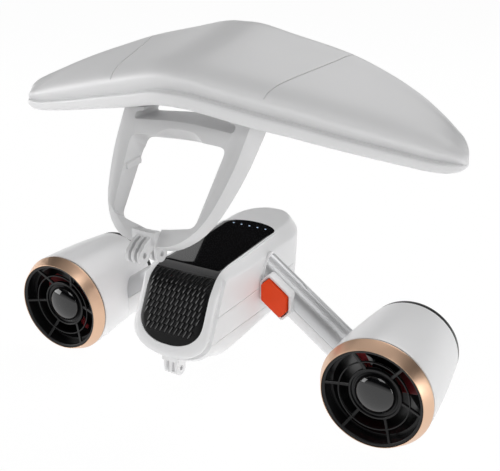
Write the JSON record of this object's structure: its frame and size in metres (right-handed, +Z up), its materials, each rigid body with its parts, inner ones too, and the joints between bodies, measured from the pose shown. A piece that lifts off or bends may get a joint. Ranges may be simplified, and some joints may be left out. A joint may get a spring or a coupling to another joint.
{
  "type": "underwater scooter",
  "caption": "Handheld underwater scooter with ducted thrusters on sloping arms, thumb triggers, a central battery pod and a lift-off float unit on a slanting bracket.",
  "frame": {"origin": "middle of the overall box at floor level, under the trim rings that the scooter stands on", "axes": "+Z up, -Y towards the nose and intakes, +X across to the thruster on the right when seen from the nose"},
  "size_m": [0.477, 0.2664, 0.365],
  "materials": {
    "white_shell": "satin moulded plastic, white",
    "float_white": "satin moulded plastic, white",
    "bracket_grey": "satin moulded plastic, light grey",
    "arm_silver": "silver painted plastic",
    "arm_grey": "fine textured plastic, grey",
    "black_gloss": "polished black plastic",
    "black_satin": "satin black plastic",
    "rose_gold": "anodised aluminium, rose gold",
    "trigger_orange": "satin plastic, orange",
    "propeller_red": "dark red plastic",
    "lens_clear": "clear light guide",
    "circuit_board": "green board",
    "battery_wrap": "shrink wrap",
    "black_rubber": "moulded rubber",
    "steel": "stainless steel",
    "magnet_steel": "coated magnets on steel",
    "copper_winding": "enamelled copper windings on an iron core"
  },
  "bodies": {
    "scooter": {"body_upper_shell": "white_shell", "body_lower_shell": "white_shell", "keel_cover": "white_shell", "control_panel": "black_gloss", "nose_panel": "black_satin", "led_lenses": "lens_clear", "control_board": "circuit_board", "battery_pack": "battery_wrap", "shell_gasket": "black_rubber", "camera_mount": "white_shell", "housing_screws": "steel", "thruster_cables": "black_rubber", "left_arm_upper": "arm_silver", "left_arm_lower": "white_shell", "left_arm_collar": "white_shell", "left_grip_plate": "arm_grey", "left_trigger_pin": "steel", "left_trigger_spring": "steel", "left_trigger_sensor": "circuit_board", "left_duct_shell": "white_shell", "left_duct_liner": "black_satin", "left_trim_ring": "rose_gold", "left_intake_guard": "black_satin", "left_hub_dome": "black_gloss", "left_motor_stator": "copper_winding", "left_motor_bearings": "steel", "left_shaft_seal": "black_rubber", "left_stator_vanes": "black_satin", "left_outlet_ring": "black_satin", "right_arm_upper": "arm_silver", "right_arm_lower": "white_shell", "right_arm_collar": "white_shell", "right_grip_plate": "arm_grey", "right_trigger_pin": "steel", "right_trigger_spring": "steel", "right_trigger_sensor": "circuit_board", "right_duct_shell": "white_shell", "right_duct_liner": "black_satin", "right_trim_ring": "rose_gold", "right_intake_guard": "black_satin", "right_hub_dome": "black_gloss", "right_motor_stator": "copper_winding", "right_motor_bearings": "steel", "right_shaft_seal": "black_rubber", "right_stator_vanes": "black_satin", "right_outlet_ring": "black_satin"},
    "left_drive": {"left_propeller": "propeller_red", "left_prop_shaft": "steel", "left_motor_rotor": "magnet_steel"},
    "left_trigger_lever": {"left_trigger": "trigger_orange"},
    "right_drive": {"right_propeller": "propeller_red", "right_prop_shaft": "steel", "right_motor_rotor": "magnet_steel"},
    "right_trigger_lever": {"right_trigger": "trigger_orange"},
    "float_unit": {"hull_upper_shell": "float_white", "hull_lower_shell": "float_white", "bracket_loop": "bracket_grey", "bracket_block": "bracket_grey", "bracket_screws": "steel"}
  },
  "joints": [
    {"name": "left_propeller_spin", "type": "hinge", "parent": "scooter", "child": "left_drive", "pos_m": [-0.18285, 0.02425, 0.0556], "axis": [0, 1, 0], "continuous": true},
    {"name": "right_propeller_spin", "type": "hinge", "parent": "scooter", "child": "right_drive", "pos_m": [0.18285, 0.02425, 0.0556], "axis": [0, 1, 0], "continuous": true},
    {"name": "left_trigger_press", "type": "hinge", "parent": "scooter", "child": "left_trigger_lever", "pos_m": [-0.0492, 0.02135, 0.1103], "axis": [0, 0, -1], "range_deg": [0, 7], "stiffness_Nm_per_rad": 0.4},
    {"name": "right_trigger_press", "type": "hinge", "parent": "scooter", "child": "right_trigger_lever", "pos_m": [0.0492, 0.02135, 0.1103], "axis": [0, 0, 1], "range_deg": [0, 7], "stiffness_Nm_per_rad": 0.4},
    {"name": "float_lift", "type": "slide", "parent": "scooter", "child": "float_unit", "axis": [0, 0, 1], "range_m": [0, 0.15]}
  ]
}
